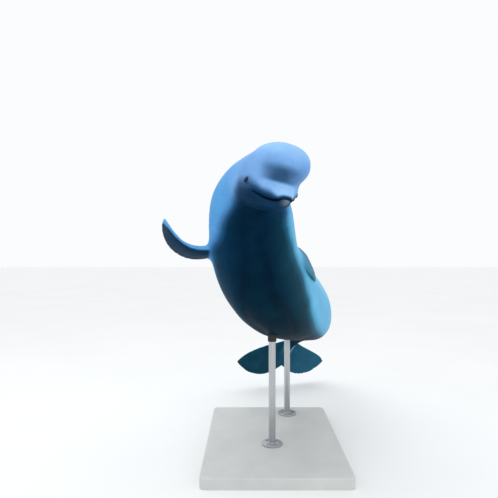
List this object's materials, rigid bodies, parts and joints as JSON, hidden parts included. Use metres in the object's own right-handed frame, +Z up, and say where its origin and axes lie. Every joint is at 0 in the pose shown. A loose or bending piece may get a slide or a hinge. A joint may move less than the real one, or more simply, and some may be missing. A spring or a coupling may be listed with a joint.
{
  "type": "beluga whale",
  "caption": "Still life-size beluga whale with a round melon and short beak, rising head first on a curved body, held by a flat display base with upright rods.",
  "frame": {"origin": "middle of the display base's underside, on the floor", "axes": "+Z up, -Y towards the viewer that the whale faces, +X to that viewer's right, which is the whale's left"},
  "size_m": [1.5979, 3.2354, 2.3433],
  "materials": {
    "skin": "smooth wet skin, pale blue on the back and head, dark slate blue on the belly",
    "eye": "glossy dark brown",
    "stand_base": "light grey satin paint",
    "stand_rods": "brushed"
  },
  "bodies": {
    "root": {"head": "skin", "lower_jaw": "skin", "eye_left": "eye", "eye_right": "eye", "neck": "skin", "chest": "skin", "abdomen": "skin", "loin": "skin", "tail_stock": "skin", "tail_end": "skin", "fluke_left": "skin", "fluke_right": "skin", "flipper_left": "skin", "flipper_right": "skin", "stand_base": "stand_base", "stand_rod_front": "stand_rods", "stand_rod_rear": "stand_rods", "stand_flange_front": "stand_rods", "stand_flange_rear": "stand_rods"}
  },
  "joints": []
}
